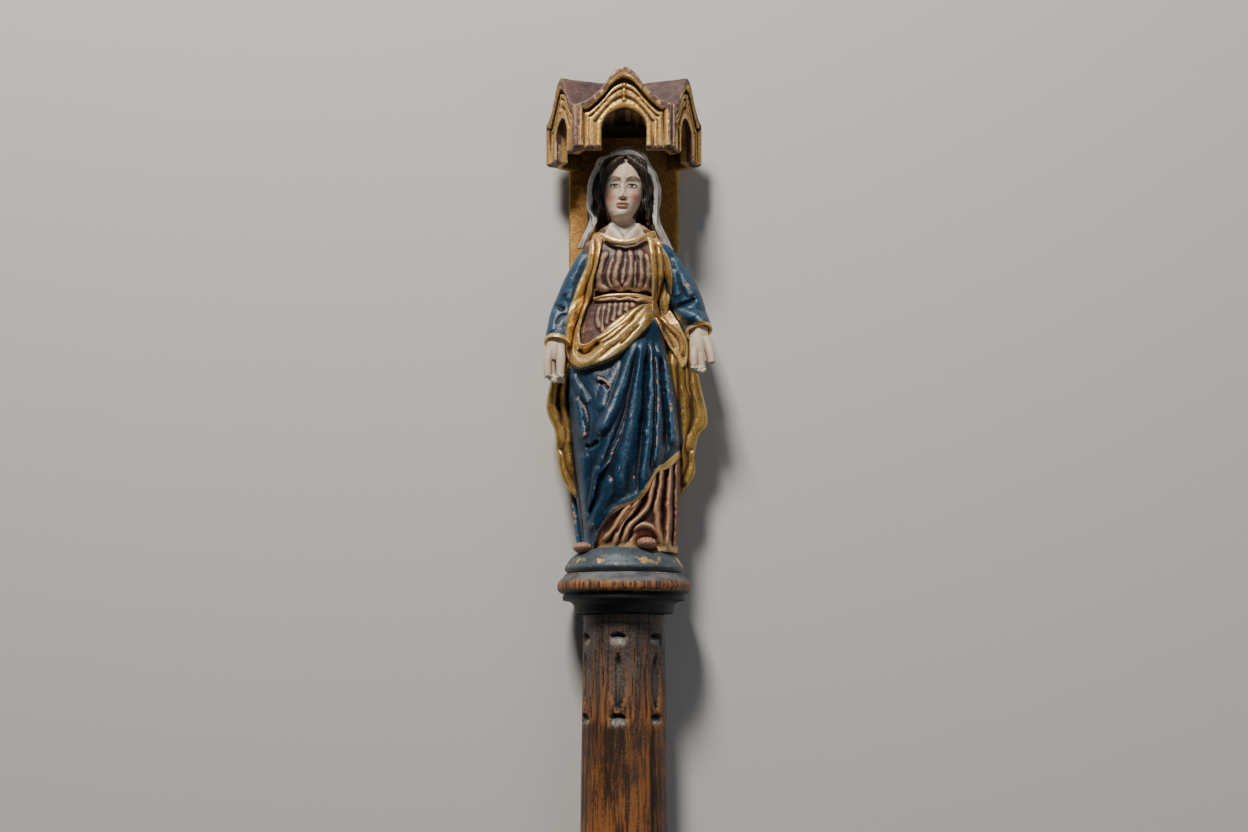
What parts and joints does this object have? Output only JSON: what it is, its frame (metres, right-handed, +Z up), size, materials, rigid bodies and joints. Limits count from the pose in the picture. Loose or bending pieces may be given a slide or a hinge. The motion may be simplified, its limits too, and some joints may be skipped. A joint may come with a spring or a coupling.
{
  "type": "confraternity staff",
  "caption": "Carved and painted processional staff lying on its back: gilded gabled hood, standing saint, turned capital and a long chip-carved wooden pole.",
  "frame": {"origin": "centre of the staff's footprint, on the surface that it lies on", "axes": "+Y along the staff from its foot to its hood, +Z up from the surface, out of the figure's front, +X to the figure's left hand side"},
  "size_m": [0.0928, 1.6532, 0.0639],
  "materials": {
    "dark_wood": "dark brown wood, worn orange-brown along its ridges and greyish at its top",
    "painted_capital": "grey-blue paint on the upper bevel, worn to bare orange-brown wood along the rim, dark below",
    "painted_carving": "old polychromy: blue mantle, gilded lining and hems, plum robe, pale flesh, worn and chipped",
    "gilded_board": "worn leaf gilding over brown bole",
    "gilded_hood": "leaf gilding with rubbed purple-brown upper edges"
  },
  "bodies": {
    "root": {"shaft": "dark_wood", "capital": "painted_capital", "figure": "painted_carving", "backboard": "gilded_board", "canopy": "gilded_hood"}
  },
  "joints": []
}
